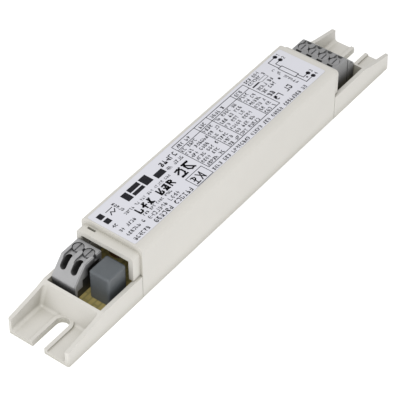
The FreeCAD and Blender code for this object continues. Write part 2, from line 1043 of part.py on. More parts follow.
def inductor_bobbin():
    x = centre["inductor"]
    middle = board_top + core_level
    reach = bobbin_reach()
    bore = core_centre_leg / 2 + bobbin_gap
    bore_high = core_depth / 2 + bobbin_gap
    tube = bore + bobbin_wall
    tube_high = bore_high + bobbin_wall
    flange_y = bobbin_flange_width / 2
    flange_z = bobbin_flange_height / 2
    pieces = [block(x - reach, x + reach, -tube, tube, middle - tube_high, middle + tube_high)]
    for side in (-1, 1):
        out = x + side * reach
        inner = out - side * bobbin_flange
        pieces.append(block(inner, out, -flange_y, flange_y, middle - flange_z, middle + flange_z))
        foot_out = out + side * bobbin_foot_length
        foot_top = middle - core_depth / 2 - bobbin_gap
        pieces.append(block(inner, foot_out, -flange_y, flange_y, board_top, foot_top))
    bobbin = joined(pieces)
    return bobbin.cut(
        block(x - 2 * reach, x + 2 * reach, -bore, bore, middle - bore_high, middle + bore_high)
    )


def inductor_winding():
    x = centre["inductor"]
    middle = board_top + core_level
    reach = bobbin_reach() - bobbin_flange - winding_gap
    inner = core_centre_leg / 2 + bobbin_gap + bobbin_wall + winding_gap
    inner_high = core_depth / 2 + bobbin_gap + bobbin_wall + winding_gap
    outer = bobbin_flange_width / 2 - winding_below_flange
    outer_high = bobbin_flange_height / 2 - winding_below_flange
    coil = block(x - reach, x + reach, -outer, outer, middle - outer_high, middle + outer_high)
    coil = rounded(coil, 3 * winding_below_flange, lambda e: runs_along(e, "x"))
    return coil.cut(
        block(x - 2 * reach, x + 2 * reach, -inner, inner, middle - inner_high, middle + inner_high)
    )


def inductor_lead_places():
    reach = bobbin_reach() + bobbin_foot_length / 2
    spread = bobbin_flange_width / bobbin_pins_per_side
    xs = (centre["inductor"] - reach, centre["inductor"] + reach)
    return [(x, y) for x in xs for y in row_places(0, bobbin_pins_per_side, spread)]


def output_cap_y():
    return -component_half + resonant_cap_length / 2


def thermistor_y():
    return component_half - thermistor_radius


def board_seated_lead_places():
    # Leads whose bodies sit straight on the board.
    x_in, x_filter, x_out = centre["input"], centre["filter"], centre["output"]
    film_reach = film_cap_length / 2 - box_lead_inset
    cap_reach = resonant_cap_length / 2 - box_lead_inset
    fuse_reach = fuse_radius * round_lead_share
    choke_reach = choke_radius * round_lead_share
    places = [(x_in + s * fuse_reach, far_row) for s in (-1, 1)]
    places += [(x_filter + s * film_reach, far_row) for s in (-1, 1)]
    places += [(x_filter + s * choke_reach, near_row) for s in (-1, 1)]
    places += [(x_out, output_cap_y() + s * cap_reach) for s in (-1, 1)]
    return places + inductor_lead_places()


def disc_lead_places(x, y, radius):
    return [(x, y - radius / 2), (x, y + radius / 2)]


clamp_places = [(mains_terminal_back - mains_screw_setback, y) for y in pole_places(mains_poles)]
clamp_places_lamp = [(lamp_terminal_back + lamp_screw_setback, y) for y in pole_places(lamp_poles)]
varistor_leads = disc_lead_places(centre["input"], near_row, varistor_radius)
thermistor_leads = disc_lead_places(centre["output"], thermistor_y(), thermistor_radius)
diode_xs = row_places(centre["rectifier"], diode_count, diode_pitch)
resistor_xs = row_places(centre["rectifier"], resistor_count, resistor_pitch)
diode_level = board_top + axial_lift + diode_radius
resistor_level = board_top + axial_lift + resistor_radius


def every_lead():
    solids = [lead(x, y, board_top) for x, y in board_seated_lead_places()]
    solids += [lead(x, y, board_top + varistor_lift) for x, y in varistor_leads]
    solids += [lead(x, y, board_top + thermistor_lift) for x, y in thermistor_leads]
    solids += [lead(x, y, board_top + ring_lift) for x, y in ring_lead_places()]
    solids += [lead(x, y, board_top + transistor_lift) for x, y in transistor_lead_places()]
    for x in diode_xs:
        solids += axial_leads(x, far_row, diode_length, diode_level)
    for x in resistor_xs:
        solids += axial_leads(x, near_row, resistor_length, resistor_level)
    return solids + can_leads()


def every_lead_place():
    places = board_seated_lead_places() + varistor_leads + thermistor_leads
    places += ring_lead_places() + transistor_lead_places() + can_lead_places()
    for x in diode_xs:
        places += axial_lead_places(x, far_row, diode_length)
    for x in resistor_xs:
        places += axial_lead_places(x, near_row, resistor_length)
    return places + clamp_places + clamp_places_lamp


os.makedirs("parts", exist_ok=True)
save("base_tray", base_tray())
save("top_cover", top_cover())
save("rating_label", rating_label())
save("circuit_board", circuit_board(every_lead_place()))
save("insulating_sheet", insulating_sheet())
save("component_leads", every_lead())
save("solder_joints", [solder_joint(x, y) for x, y in every_lead_place()])

save("mains_terminal_body", mains_terminal_body())
save("mains_terminal_screws", [terminal_screw(x, y) for x, y in clamp_places])
save("mains_terminal_clamps", [terminal_clamp(x, y) for x, y in clamp_places])
save("filler_block", filler_block())
save("lamp_terminal_body", lamp_terminal_body())
save("lamp_terminal_screws", [terminal_screw(x, y) for x, y in clamp_places_lamp])
save("lamp_terminal_clamps", [terminal_clamp(x, y) for x, y in clamp_places_lamp])

save("fuse", fuse())
save(
    "surge_varistor",
    disc_part(centre["input"], near_row, varistor_radius, varistor_thickness, varistor_lift),
)
save(
    "mains_capacitor",
    soft_box(centre["filter"], far_row, film_cap_length, film_cap_width, film_cap_height),
)
save("line_choke_core", choke_core())
save("line_choke_winding", choke_winding())
save("rectifier_diodes", diodes())
save("resistors", [resistor(x) for x in resistor_xs])
save("storage_capacitor_can", capacitor_can())
save("storage_capacitor_plug", capacitor_plug())
save("drive_ring_core", ring_core())
save(
    "drive_ring_turns",
    [ring_turn(a) for group in range(turn_groups) for a in turn_angles(group)],
)
save("heat_sink", heat_sink())
save("power_transistors", [transistor(-1), transistor(1)])
save("transistor_bolt", transistor_bolt())
save("inductor_cores", [core_half(-1), core_half(1)])
save("inductor_bobbin", inductor_bobbin())
save("inductor_winding", inductor_winding())
save(
    "resonant_capacitor",
    soft_box(
        centre["output"],
        output_cap_y(),
        resonant_cap_width,
        resonant_cap_length,
        resonant_cap_height,
    ),
)
save(
    "start_thermistor",
    disc_part(
        centre["output"], thermistor_y(), thermistor_radius, thermistor_thickness, thermistor_lift
    ),
)
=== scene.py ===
# %% [markdown]
# # Fluorescent lamp ballast
# A ballast starts a fluorescent lamp and limits its current. This one is a slim plastic
# case with screw terminals at both ends. Its shapes are solids that were made in a CAD
# program. This script loads them, gives each one a procedural material, prints the rating
# label as flat geometry, and sets up the floor, the light and the camera.
#
# Lengths are metres, as in Blender, and MM turns millimetres into them. +X runs along the
# case toward the lamp terminals, +Y across it, and +Z up.

# %% Load the solids
import json
import math

import bpy
import numpy as np
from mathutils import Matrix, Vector


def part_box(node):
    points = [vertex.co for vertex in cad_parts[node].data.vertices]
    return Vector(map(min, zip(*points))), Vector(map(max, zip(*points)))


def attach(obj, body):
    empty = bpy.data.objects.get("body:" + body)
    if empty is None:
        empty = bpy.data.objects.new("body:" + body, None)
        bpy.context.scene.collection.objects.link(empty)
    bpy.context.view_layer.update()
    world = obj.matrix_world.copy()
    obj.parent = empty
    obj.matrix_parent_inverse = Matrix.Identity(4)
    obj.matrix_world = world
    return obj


MM = 0.001

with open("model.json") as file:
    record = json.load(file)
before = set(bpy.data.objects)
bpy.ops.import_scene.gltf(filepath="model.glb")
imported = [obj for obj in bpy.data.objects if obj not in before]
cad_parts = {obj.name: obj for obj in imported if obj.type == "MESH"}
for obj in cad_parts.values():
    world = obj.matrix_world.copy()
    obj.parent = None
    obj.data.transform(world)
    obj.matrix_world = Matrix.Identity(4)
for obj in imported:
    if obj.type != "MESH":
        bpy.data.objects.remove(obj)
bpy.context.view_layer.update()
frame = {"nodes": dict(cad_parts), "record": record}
nodes = frame["nodes"]


def in_mm(corners):
    """The same corners in millimetres, rounded to a tenth."""
    return [[round(value / MM, 1) for value in corner] for corner in corners]


# %% [markdown]
# ## Helpers for node trees
# A material is a small graph: numbers and colours flow through nodes into a shader. It
# could be clicked together in the shader editor. Written as code it can be repeated with
# other numbers, and a few helpers keep every material down to some readable lines.
#
# The Mix node has one set of sockets for each kind of data, so its colour sockets are
# reached by number. The numbers get names here.

# %% Nodes and links
MIX_FACTOR, MIX_FIRST, MIX_SECOND, MIX_COLOUR = 0, 6, 7, 2


def plug(tree, socket, value):
    """Links the socket where the value is a socket too, and sets it otherwise."""
    if isinstance(value, bpy.types.NodeSocket):
        tree.links.new(value, socket)
    else:
        socket.default_value = value


def add(tree, kind, **values):
    """One new node. A name that starts with set_ is a property, any other is an input."""
    node = tree.nodes.new(kind)
    for name, value in values.items():
        if name.startswith("set_"):
            setattr(node, name.removeprefix("set_"), value)
        else:
            plug(tree, node.inputs[name.replace("_", " ")], value)
    return node


def calculate(tree, operation, *values):
    """The result of one Math node on its numbers, such as first times second."""
    node = add(tree, "ShaderNodeMath", set_operation=operation)
    for socket, value in zip(node.inputs, values):
        plug(tree, socket, value)
    return node.outputs["Value"]


def mix_colours(tree, factor, first, second):
    """The first colour times (1 - factor) plus the second times the factor."""
    node = add(tree, "ShaderNodeMix", set_data_type="RGBA")
    plug(tree, node.inputs[MIX_FACTOR], factor)
    plug(tree, node.inputs[MIX_FIRST], first)
    plug(tree, node.inputs[MIX_SECOND], second)
    return node.outputs[MIX_COLOUR]


def object_place(tree):
    """Where a point lies on the object, so that a pattern stays on the piece."""
    return add(tree, "ShaderNodeTexCoord").outputs["Object"]


def rgba(colour, factor=1.0):
    """The colour times a factor, with full alpha."""
    return tuple(channel * factor for channel in colour) + (1.0,)


print("colour sockets of a Mix node:", MIX_FIRST, "and", MIX_SECOND)

# %% [markdown]
# ## Shared effects
# Nearly all of the object is moulded plastic, and every surface of it shows the same few
# things at other strengths. Each could be drawn again in every material. Instead each one
# is a node group: a graph of its own with named inputs and outputs, made once and placed
# in a material like a single node.


# %% An empty node group
def new_group(name, inputs, outputs):
    """The group, the sockets that it is given and the sockets that it puts out."""
    group = bpy.data.node_groups.new(name, "ShaderNodeTree")
    for label, kind, value in inputs:
        socket = group.interface.new_socket(label, in_out="INPUT", socket_type=kind)
        socket.default_value = value
    for label, kind in outputs:
        group.interface.new_socket(label, in_out="OUTPUT", socket_type=kind)
    return group, add(group, "NodeGroupInput").outputs, add(group, "NodeGroupOutput").inputs


def use_group(tree, group, **values):
    """The group placed in a material, with the values of this material."""
    return add(tree, "ShaderNodeGroup", set_node_tree=group, **values)


print("node groups so far:", len(bpy.data.node_groups))

# %% [markdown]
# ### Moulded grain
# A steel mould is eroded by sparks, and the plastic copies its fine pits. They are far too
# small for geometry, so a noise texture bends the normal a little with a Bump node. The
# Bevel node comes first: it rounds the normal near edges, as no moulded edge is sharp.

# %% Group: moulded grain
GRAIN_HEIGHT = 0.1 * MM
BEVEL_SAMPLES = 4


def make_grain_group():
    """Normal: the rounded normal, tilted by the slope of noise times Depth."""
    group, given, out = new_group(
        "Moulded grain",
        [("Grain per metre", "NodeSocketFloat", 2500.0),
         ("Depth", "NodeSocketFloat", 0.1),
         ("Edge radius", "NodeSocketFloat", 0.2 * MM)],
        [("Normal", "NodeSocketVector")],
    )
    noise = add(group, "ShaderNodeTexNoise", Vector=object_place(group),
                Scale=given["Grain per metre"], Detail=3.0, Roughness=0.6)
    rounded = add(group, "ShaderNodeBevel", set_samples=BEVEL_SAMPLES,
                  Radius=given["Edge radius"])
    bump = add(group, "ShaderNodeBump", Distance=GRAIN_HEIGHT, Strength=given["Depth"],
               Height=noise.outputs["Fac"], Normal=rounded.outputs["Normal"])
    plug(group, out["Normal"], bump.outputs["Normal"])
    return group


grain_group = make_grain_group()
print(grain_group.name, "has", len(grain_group.nodes), "nodes")

# %% [markdown]
# ### Colour drift
# No real surface has one colour all over: pigment, dust and age change it by a few
# percent over some millimetres. A slow noise picks between two close colours. The Map
# Range node stretches the middle of the noise, where nearly all its values lie.

# %% Group: colour drift
NOISE_LOW, NOISE_HIGH = 0.35, 0.75


def make_drift_group():
    """Colour: first and second colour mixed by Share times the stretched noise."""
    group, given, out = new_group(
        "Colour drift",
        [("Colour", "NodeSocketColor", (0.8, 0.8, 0.8, 1.0)),
         ("Second colour", "NodeSocketColor", (0.7, 0.7, 0.7, 1.0)),
         ("Patches per metre", "NodeSocketFloat", 60.0),
         ("Share", "NodeSocketFloat", 0.5)],
        [("Colour", "NodeSocketColor")],
    )
    noise = add(group, "ShaderNodeTexNoise", Vector=object_place(group),
                Scale=given["Patches per metre"], Detail=4.0, Roughness=0.55)
    patches = add(group, "ShaderNodeMapRange", Value=noise.outputs["Fac"],
                  From_Min=NOISE_LOW, From_Max=NOISE_HIGH)
    share = calculate(group, "MULTIPLY", patches.outputs["Result"], given["Share"])
    plug(group, out["Colour"],
         mix_colours(group, share, given["Colour"], given["Second colour"]))
    return group


drift_group = make_drift_group()
print(drift_group.name, "has", len(drift_group.nodes), "nodes")

# %% [markdown]
# ### Painted edge highlight
# Rounded edges catch the light, so a highlight is painted on them as a slightly lighter
# colour. Edges could be picked by hand and painted. Here the shader finds them: away from an
# edge the true normal and the one that the Bevel node rounds off agree, and their dot
# product is 1. At an edge it drops.

# %% Group: painted edge highlight
FLAT_ALIGN, EDGE_ALIGN = 0.98, 0.80


def make_edge_highlight_group():
    """Edge: Amount times how far the dot product fell from FLAT_ALIGN to EDGE_ALIGN."""
    group, given, out = new_group(
        "Painted edge highlight",
        [("Radius", "NodeSocketFloat", 0.4 * MM), ("Amount", "NodeSocketFloat", 0.5)],
        [("Edge", "NodeSocketFloat")],
    )
    true_normal = add(group, "ShaderNodeNewGeometry").outputs["Normal"]
    rounded = add(group, "ShaderNodeBevel", set_samples=BEVEL_SAMPLES, Radius=given["Radius"])
    align = add(group, "ShaderNodeVectorMath", set_operation="DOT_PRODUCT")
    for socket, normal in zip(align.inputs, (true_normal, rounded.outputs["Normal"])):
        plug(group, socket, normal)
    edge = add(group, "ShaderNodeMapRange", Value=align.outputs["Value"],
               From_Min=FLAT_ALIGN, From_Max=EDGE_ALIGN)
    plug(group, out["Edge"],
         calculate(group, "MULTIPLY", edge.outputs["Result"], given["Amount"]))
    return group


edge_highlight_group = make_edge_highlight_group()
print(edge_highlight_group.name, "has", len(edge_highlight_group.nodes), "nodes")

# %% [markdown]
# ### Hollow shade
# Screw wells, wire entries and narrow gaps lose light. The render traces some of that shade,
# but the real ones look darker still, so more shade is painted in. The Ambient Occlusion node
# measures how open a point is, from 0 to 1, over a chosen distance, and that mixes in a
# darker colour as painted shade.

# %% Group: hollow shade
OPENNESS_SAMPLES = 6


def make_hollow_group():
    """Colour: mixed with Shade by Amount, in full at Closed and not at all at Open."""
    group, given, out = new_group(
        "Hollow shade",
        [("Colour", "NodeSocketColor", (0.8, 0.8, 0.8, 1.0)),
         ("Shade", "NodeSocketColor", (0.006, 0.006, 0.006, 1.0)),
         ("Reach", "NodeSocketFloat", 3 * MM),
         ("Closed", "NodeSocketFloat", 0.25),
         ("Open", "NodeSocketFloat", 0.75),
         ("Amount", "NodeSocketFloat", 0.6)],
        [("Colour", "NodeSocketColor")],
    )
    openness = add(group, "ShaderNodeAmbientOcclusion", set_samples=OPENNESS_SAMPLES,
                   Distance=given["Reach"])
    hollow = add(group, "ShaderNodeMapRange", Value=openness.outputs["AO"],
                 From_Min=given["Closed"], From_Max=given["Open"], To_Min=1.0, To_Max=0.0)
    share = calculate(group, "MULTIPLY", hollow.outputs["Result"], given["Amount"])
    plug(group, out["Colour"], mix_colours(group, share, given["Colour"], given["Shade"]))
    return group


hollow_group = make_hollow_group()
print(hollow_group.name, "has", len(hollow_group.nodes), "nodes")

# %% [markdown]
# ## The material of moulded pieces
# One maker serves every plastic, rubber and ceramic piece. The shader in each material is
# Principled BSDF, which behaves like real plastic from a colour and a roughness. The groups
# feed only its colour and normal. What is the same all over, such as roughness, is set on
# the shader itself.

# %% Maker: moulded pieces
DRIFT_SHARE = 0.8
# The share of painted highlight that edges get.
EDGE_HIGHLIGHT_AMOUNT = 0.6
SOFT_EDGE = 0.2 * MM
EDGE_TO_SOFT = 2.0

finishes = {}


def start_material(name):
    """A new material with its node tree and its Principled BSDF."""
    material = bpy.data.materials.new(name)
    material.use_nodes = True
    tree = material.node_tree
    return material, tree, tree.nodes["Principled BSDF"]


def moulded(name, colour, roughness=0.45, drift=0.9, patches=60.0, grain=2500.0, depth=0.1,
            edge_highlight=1.12, soften=SOFT_EDGE, coat=0.0, hollow=0.0, reach=3 * MM, closed=0.25,
            open_from=0.75, shade=(0.006, 0.006, 0.006)):
    """Colour drifts down to colour times drift, up to colour times the edge factor at edges as a
    painted highlight, and to painted shade in hollows by the share that hollow says. Grain and
    soften bend the normal.
    """
    material, tree, surface = start_material(name)
    surface.inputs["Roughness"].default_value = roughness
    surface.inputs["Coat Weight"].default_value = coat
    tone = use_group(tree, drift_group, Colour=rgba(colour), Second_colour=rgba(colour, drift),
                     Patches_per_metre=patches, Share=DRIFT_SHARE)
    edge = use_group(tree, edge_highlight_group, Radius=soften * EDGE_TO_SOFT, Amount=EDGE_HIGHLIGHT_AMOUNT)
    # Painted highlight: a lighter copy of the colour for the edges.
    highlighted = rgba([min(1.0, channel * edge_highlight) for channel in colour])
    look = mix_colours(tree, edge.outputs["Edge"], tone.outputs["Colour"], highlighted)
    # Painted shade in hollows, by how open each point is.
    if hollow > 0:
        darker = use_group(tree, hollow_group, Colour=look, Shade=rgba(shade), Reach=reach,
                           Closed=closed, Open=open_from, Amount=hollow)
        look = darker.outputs["Colour"]
    normal = use_group(tree, grain_group, Grain_per_metre=grain, Depth=depth, Edge_radius=soften)
    plug(tree, surface.inputs["Base Color"], look)
    plug(tree, surface.inputs["Normal"], normal.outputs["Normal"])
    finishes[name] = material


print("light edges reach", SOFT_EDGE * EDGE_TO_SOFT / MM, "mm")

# %% [markdown]
# ## The materials of metal, wire and board
# Metal reflects in its own colour, and drawing or turning leaves fine scratches along one
# direction. A noise that a Mapping node squeezes along one axis gives such scratches. It
# drives the roughness and a very small bump.
#
# A coil is wire laid turn by turn. Each turn could be a curve, but hardly any of a coil is
# seen here, so a Wave texture paints shade between the turns and bumps the solid coil
# instead. That texture turns its phase by 20 for each unit of length, hence WAVE_PHASE.
#
# The board is brown laminate, and tracks show through as faint bands. A Brick texture
# gives bands of uneven length, and drift adds the speckle of pressed paper.

# %% Maker: metal
METAL_DRIFT, METAL_PATCHES, METAL_SHARE = 0.75, 500.0, 0.7
SMOOTHEST, ROUGHEST = 0.7, 1.5
SCRATCH_HEIGHT = 0.05 * MM
METAL_EDGE = 0.15 * MM


def metal(name, colour, roughness=0.3, stretch=(1.0, 14.0, 1.0), scratch=900.0, depth=0.12):
    """Roughness runs from SMOOTHEST to ROUGHEST times its value with the stretched noise."""
    material, tree, surface = start_material(name)
    surface.inputs["Metallic"].default_value = 1.0
    squeeze = add(tree, "ShaderNodeMapping", Vector=object_place(tree), Scale=stretch)
    noise = add(tree, "ShaderNodeTexNoise", Vector=squeeze.outputs["Vector"], Scale=scratch,
                Detail=4.0)
    rough = add(tree, "ShaderNodeMapRange", Value=noise.outputs["Fac"],
                To_Min=roughness * SMOOTHEST, To_Max=roughness * ROUGHEST)
    tone = use_group(tree, drift_group, Colour=rgba(colour),
                     Second_colour=rgba(colour, METAL_DRIFT), Patches_per_metre=METAL_PATCHES,
                     Share=METAL_SHARE)
    rounded = add(tree, "ShaderNodeBevel", set_samples=BEVEL_SAMPLES, Radius=METAL_EDGE)
    bump = add(tree, "ShaderNodeBump", Distance=SCRATCH_HEIGHT, Strength=depth,
               Height=noise.outputs["Fac"], Normal=rounded.outputs["Normal"])
    plug(tree, surface.inputs["Roughness"], rough.outputs["Result"])
    plug(tree, surface.inputs["Base Color"], tone.outputs["Colour"])
    plug(tree, surface.inputs["Normal"], bump.outputs["Normal"])
    finishes[name] = material


print("metal roughness varies from", SMOOTHEST, "to", ROUGHEST, "times its value")

# %% Maker: wound wire
WAVE_PHASE = 20.0
COIL_PHASE = 2200.0
# Painted shade between the turns: the colour there is this share of the wire's colour.
SHADE_BETWEEN_TURNS = 0.45
TURN_HEIGHT = 0.2 * MM


def wound(name, colour, phase_per_metre, direction, roughness=0.35):
    """Colour and height follow a sine of phase_per_metre times the place on one axis."""
    material, tree, surface = start_material(name)
    surface.inputs["Roughness"].default_value = roughness
    surface.inputs["Coat Weight"].default_value = 0.3
    wave = add(tree, "ShaderNodeTexWave", set_bands_direction=direction,
               Vector=object_place(tree), Scale=phase_per_metre / WAVE_PHASE, Distortion=0.6)
    look = mix_colours(tree, wave.outputs["Fac"], rgba(colour, SHADE_BETWEEN_TURNS), rgba(colour))
    bump = add(tree, "ShaderNodeBump", Distance=TURN_HEIGHT, Strength=0.5,
               Height=wave.outputs["Fac"])
    plug(tree, surface.inputs["Base Color"], look)
    plug(tree, surface.inputs["Normal"], bump.outputs["Normal"])
    finishes[name] = material


print("bands lie", round(2 * math.pi / COIL_PHASE / MM, 2), "mm apart")


# %% Maker: board laminate
NEXT_BRICK, SPECKLE = 0.85, 0.6


def laminate(name, colour, track_colour, roughness=0.38):
    """Rows of bricks in two close browns, with mortar as tracks, under a fine drift."""
    material, tree, surface = start_material(name)
    surface.inputs["Roughness"].default_value = roughness
    surface.inputs["Coat Weight"].default_value = 0.15
    tracks = add(tree, "ShaderNodeTexBrick", set_offset=0.35, Vector=object_place(tree),
                 Scale=110.0, Color1=rgba(colour), Color2=rgba(colour, NEXT_BRICK),
                 Mortar=rgba(track_colour), Mortar_Size=0.045, Mortar_Smooth=0.3)
    tone = use_group(tree, drift_group, Colour=tracks.outputs["Color"],
                     Second_colour=rgba(colour, SPECKLE), Patches_per_metre=900.0, Share=0.35)
    normal = use_group(tree, grain_group, Grain_per_metre=1800.0, Depth=0.12,
                       Edge_radius=0.1 * MM)
    plug(tree, surface.inputs["Base Color"], tone.outputs["Colour"])
    plug(tree, surface.inputs["Normal"], normal.outputs["Normal"])
    finishes[name] = material


print("every second brick has", NEXT_BRICK, "times the colour of the first")

# %% [markdown]
# ## Case and label
# The case is off-white moulded plastic with a faint grain. In its corners the light has
# bounced between warm walls, so the shade there is a warm grey and not black. The label is
# smooth, cool white paper. Its colour was matched against the case beside it.

# %% Finishes: case and label
moulded("case_plastic", (0.640, 0.622, 0.580), roughness=0.42, drift=0.955, patches=35.0,
        grain=3200.0, depth=0.08, edge_highlight=1.10, hollow=0.8, reach=8 * MM, closed=0.2,
        open_from=0.78, shade=(0.20, 0.19, 0.135))
moulded("label_paper", (0.690, 0.692, 0.745), roughness=0.38, drift=0.975, patches=45.0,
        grain=6000.0, depth=0.03, edge_highlight=1.02)
print("finishes so far:", len(finishes))

# %% [markdown]
# ## Terminals, screws, filler block and board
# The terminals are grey plastic with a coarser grain and a painted highlight on their
# edges, and painted shade makes their wells and wire entries nearly black inside. The mains
# side is lighter than the lamp side. The screws are dull plated steel. The filler block is
# slate coloured, with a painted highlight on its soft edges.

# %% Finishes: terminals, screws, filler block and board
moulded("terminal_grey", (0.375, 0.375, 0.380), roughness=0.40, drift=0.9, patches=160.0,
        grain=4200.0, depth=0.12, edge_highlight=1.25, hollow=0.92, reach=6 * MM, closed=0.3,
        open_from=0.8)
moulded("terminal_dark_grey", (0.275, 0.275, 0.278), roughness=0.42, drift=0.85,
        patches=160.0, grain=4200.0, depth=0.12, edge_highlight=1.25, hollow=0.9, reach=5 * MM,
        closed=0.25, open_from=0.8)
moulded("filler_slate", (0.110, 0.122, 0.132), roughness=0.40, drift=0.85, patches=140.0,
        grain=4200.0, depth=0.12, edge_highlight=1.6, soften=0.5 * MM, hollow=0.42, reach=6 * MM,
        closed=0.2, open_from=0.55)
metal("screw_steel", (0.50, 0.50, 0.51), roughness=0.45)
metal("clamp_brass", (0.66, 0.48, 0.20), roughness=0.3)
laminate("board_laminate", (0.370, 0.300, 0.110), (0.230, 0.200, 0.075))
print("finishes so far:", len(finishes))

# %% [markdown]
# ## The circuit under the cover
# These pieces are hardly seen, but the object can be opened, so each has the colour and
# gloss of its kind: lacquered film capacitors and resistors shine, cast and sintered
# bodies are dull, and the can of the storage capacitor wears a glossy dark sleeve.

# %% Finishes: the circuit
moulded("sheet_film", (0.60, 0.57, 0.48), roughness=0.35)
moulded("fuse_brown", (0.10, 0.04, 0.02), roughness=0.3)
moulded("varistor_blue", (0.03, 0.09, 0.28), roughness=0.25, coat=0.4)
moulded("film_yellow", (0.55, 0.38, 0.05), roughness=0.3, coat=0.2)
moulded("film_red", (0.32, 0.04, 0.02), roughness=0.25, coat=0.4)
moulded("ferrite", (0.035, 0.035, 0.037), roughness=0.55, grain=5000.0, depth=0.3)
moulded("diode_black", (0.015, 0.015, 0.016), roughness=0.3)
moulded("resistor_body", (0.42, 0.30, 0.15), roughness=0.3, coat=0.3)
moulded("can_sleeve", (0.012, 0.018, 0.045), roughness=0.2, coat=0.5)
moulded("plug_rubber", (0.02, 0.02, 0.02), roughness=0.7)
moulded("transistor_black", (0.02, 0.02, 0.02), roughness=0.45)
moulded("bobbin_nylon", (0.03, 0.03, 0.032), roughness=0.4)
moulded("winding_tape", (0.50, 0.38, 0.05), roughness=0.25, coat=0.4)
moulded("thermistor_green", (0.04, 0.16, 0.06), roughness=0.3, coat=0.3)
wound("copper_wire", (0.48, 0.16, 0.05), COIL_PHASE, "Z")
metal("sink_aluminium", (0.72, 0.73, 0.74), roughness=0.32)
metal("tinned_lead", (0.62, 0.62, 0.63), roughness=0.34)
metal("solder", (0.55, 0.56, 0.58), roughness=0.25, stretch=(1.0, 1.0, 1.0))
print("finishes so far:", len(finishes))

# %% [markdown]
# ## The open side of the mains terminal
# The side of the mains terminal that faces the filler block is set back, as if open, and
# lies in deep shade, which is painted into its colour as a near black. A second material
# on some faces would do, but the solid's faces are loose triangles. So the shader picks the
# place itself: points within half the recess of its level in Y, on faces that look to the
# near side.

# %% Painted shade in the recess
RECESS_DEPTH = 0.45 * MM
# Painted shade in the recess: its share and the near black that it mixes in.
RECESS_SHADE_SHARE = 0.9
RECESS_SHADE_COLOUR = (0.012, 0.012, 0.012, 1.0)
LOOKS_NEAR = -0.5


def shade_recess(material, level, depth):
    """Base colour mixed with near black, as painted shade, by the share of shade where the
    normal's Y is below LOOKS_NEAR and Y differs from the level by less than half the depth."""
    tree = material.node_tree
    base = tree.nodes["Principled BSDF"].inputs["Base Color"]
    place = add(tree, "ShaderNodeTexCoord")
    where = add(tree, "ShaderNodeSeparateXYZ", Vector=place.outputs["Object"])
    facing = add(tree, "ShaderNodeSeparateXYZ", Vector=place.outputs["Normal"])
    looks_near = calculate(tree, "LESS_THAN", facing.outputs["Y"], LOOKS_NEAR)
    inside = calculate(tree, "COMPARE", where.outputs["Y"], level, depth / 2)
    both = calculate(tree, "MULTIPLY", looks_near, inside)
    share = calculate(tree, "MULTIPLY", both, RECESS_SHADE_SHARE)
    colour = base.links[0].from_socket
    plug(tree, base, mix_colours(tree, share, colour, RECESS_SHADE_COLOUR))


mains_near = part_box("mains_terminal_body")[0].y
shade_recess(finishes["terminal_grey"], mains_near + RECESS_DEPTH, RECESS_DEPTH)
print("recess at Y", round((mains_near + RECESS_DEPTH) / MM, 2), "mm")

# %% [markdown]
# ## A finish for every piece
# The part's record names a material slot for each solid, so the finish is found by that
# name. Solids of the same stuff share one material.

# %% Hand out the finishes
slot_of = {part["node"]: part["material_slot"] for part in frame["record"]["subparts"]}
for name, node in nodes.items():
    node.data.materials.clear()
    node.data.materials.append(finishes[slot_of[name]])
print(len(set(slot_of.values())), "finishes on", len(nodes), "pieces")

# %% [markdown]
# ## The rating label's print
# The real label has bars, boxes, a table and rows of small text. An image would be the
# usual way, or text objects. Here the print is flat geometry a hair above the label, so it
# stays sharp at any distance and the small text can be marks that say nothing.
#
# Everything is built from patches with four corners. A bar is one patch, a line is one
# patch for each of its straight strokes, and a disc is a fan of patches. They are worked
# out as whole arrays in millimetres, in the label's own X and Y, and become one mesh.

# %% Ink on the label
PRINT_GAP = 0.008 * MM
DISC_SIDES = 20
SEED = 18

label_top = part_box("rating_label")[1].z
print_level = label_top + PRINT_GAP
random = np.random.default_rng(SEED)


class Print:
    """Collects patches of ink and turns them into one mesh."""

    def __init__(self):
        self.patches = []

    def patch(self, corners):
        """Keeps one or more patches, as an array of patch by corner by X and Y."""
        self.patches.append(np.asarray(corners, float).reshape(-1, 4, 2))

    def bar(self, left, right, low, high):
        """A solid box."""
        self.patch([(left, low), (right, low), (right, high), (left, high)])

    def line(self, points, width, closed=False):
        """A stroke for each pair of neighbours. Its corners are the two points, moved out
        along the stroke and to either side of it, both by half the width."""
        starts = np.asarray(points, float)
        ends = np.roll(starts, -1, axis=0)
        if not closed:
            starts, ends = starts[:-1], ends[:-1]
        step = ends - starts
        along = step / np.linalg.norm(step, axis=1, keepdims=True) * width / 2
        side = np.column_stack([-along[:, 1], along[:, 0]])
        self.patch(np.stack([starts - along - side, ends + along - side,
                             ends + along + side, starts - along + side], axis=1))

    def box(self, left, right, low, high, width):
        """An empty box with a line as its edge."""
        self.line([(left, low), (right, low), (right, high), (left, high)], width, closed=True)

    def disc(self, x, y, radius):
        """Points at the centre plus radius times cosine and sine of even angles, joined
        by a fan of patches that all start at the first point."""
        turn = np.linspace(0, 2 * math.pi, DISC_SIDES, endpoint=False)
        ring = np.column_stack([x + radius * np.cos(turn), y + radius * np.sin(turn)])
        n = np.arange(1, DISC_SIDES - 2, 2)
        hub = np.zeros_like(n)
        self.patch(np.stack([ring[hub], ring[n], ring[n + 1], ring[n + 2]], axis=1))

    def mesh(self, name):
        """One object of all patches, flat at print_level, in metres."""
        points = np.concatenate(self.patches).reshape(-1, 2) * MM
        level = np.full((len(points), 1), print_level)
        faces = np.arange(len(points)).reshape(-1, 4)
        data = bpy.data.meshes.new(name)
        data.from_pydata(np.hstack([points, level]).tolist(), [], faces.tolist())
        piece = bpy.data.objects.new(name, data)
        bpy.context.scene.collection.objects.link(piece)
        return piece


ink = Print()
print("print lies at", round(print_level / MM, 3), "mm")

